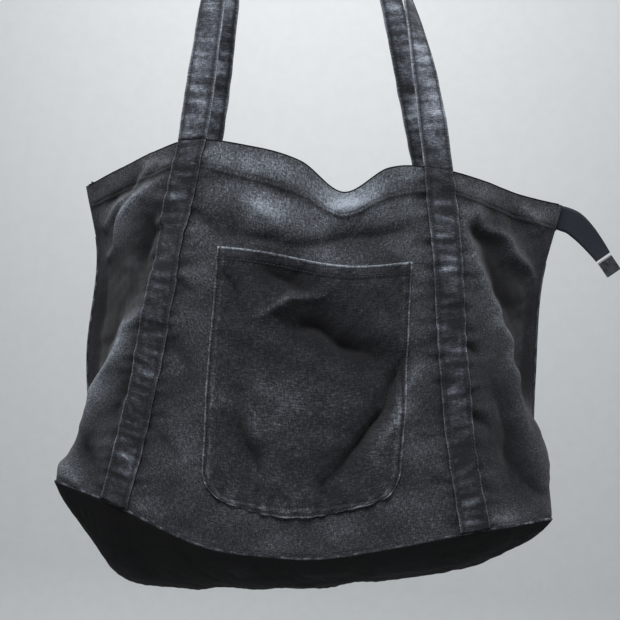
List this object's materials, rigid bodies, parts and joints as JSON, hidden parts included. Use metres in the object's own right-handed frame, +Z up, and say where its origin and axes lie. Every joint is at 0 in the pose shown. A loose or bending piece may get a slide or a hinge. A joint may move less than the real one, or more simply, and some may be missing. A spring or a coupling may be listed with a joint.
{
  "type": "tote bag",
  "caption": "Soft denim zip-top tote bag with a front patch pocket and two strap handles, shown hanging; the handles swing, the zip slides and its flaps fold open.",
  "frame": {"origin": "middle of the seat where the undersides of both handle loops bear on a hook; the body stands 35 mm to the right of it", "axes": "+Z up, -Y towards the pocket side, +X to the right as the pocket side is seen"},
  "size_m": [0.5415, 0.1345, 0.7186],
  "materials": {
    "denim": "washed black denim, twill weave, grey along seams",
    "denim_base": "darker black denim, hardly washed",
    "strap": "washed black denim, worn along both edges",
    "zip_tape": "woven polyester tape, blue-black",
    "zip_coil": "black nylon coil",
    "gunmetal": "dark gunmetal, brushed"
  },
  "bodies": {
    "bag": {"front_panel": "denim", "back_panel": "denim", "front_facing": "denim", "back_facing": "denim", "base_panel": "denim_base", "front_pocket": "denim", "front_band_left": "strap", "front_band_right": "strap", "back_band_left": "strap", "back_band_right": "strap", "zip_end_tape_left": "zip_tape", "zip_end_tape_right": "zip_tape", "zip_end_coil_left_front": "zip_coil", "zip_end_coil_left_back": "zip_coil", "zip_end_coil_right_front": "zip_coil", "zip_end_coil_right_back": "zip_coil", "zip_stop": "gunmetal"},
    "handle_front": {"front_handle": "strap"},
    "handle_back": {"back_handle": "strap"},
    "flap_front": {"front_zip_flap": "denim", "zip_tape_front": "zip_tape", "zip_coil_front": "zip_coil"},
    "flap_back": {"back_zip_flap": "denim", "zip_tape_back": "zip_tape", "zip_coil_back": "zip_coil"},
    "slider": {"zip_slider": "gunmetal"},
    "pull": {"puller_tab": "gunmetal"},
    "tail": {"zip_tail_tape": "zip_tape", "zip_tail_coil": "zip_coil", "tail_end_cap": "gunmetal", "tail_cap_screw": "gunmetal"}
  },
  "joints": [
    {"name": "front_handle_swing", "type": "hinge", "parent": "bag", "child": "handle_front", "pos_m": [0.035, -0.0392, -0.2711], "axis": [1, 0, 0], "range_deg": [0, 150]},
    {"name": "back_handle_swing", "type": "hinge", "parent": "bag", "child": "handle_back", "pos_m": [0.035, 0.0392, -0.2711], "axis": [-1, 0, 0], "range_deg": [0, 150]},
    {"name": "front_flap_fold", "type": "hinge", "parent": "bag", "child": "flap_front", "pos_m": [0.035, -0.029, -0.336], "axis": [1, 0, 0], "range_deg": [0, 60]},
    {"name": "back_flap_fold", "type": "hinge", "parent": "bag", "child": "flap_back", "pos_m": [0.035, 0.029, -0.336], "axis": [-1, 0, 0], "range_deg": [0, 60]},
    {"name": "slider_travel", "type": "slide", "parent": "bag", "child": "slider", "axis": [1, 0, 0], "range_m": [0, 0.345]},
    {"name": "pull_hinge", "type": "hinge", "parent": "slider", "child": "pull", "pos_m": [-0.1375, 0, -0.3308], "axis": [0, 1, 0], "range_deg": [0, 170]},
    {"name": "tail_swing", "type": "hinge", "parent": "bag", "child": "tail", "pos_m": [0.278, 0, -0.319], "axis": [0, 0, 1], "range_deg": [-60, 60]}
  ]
}
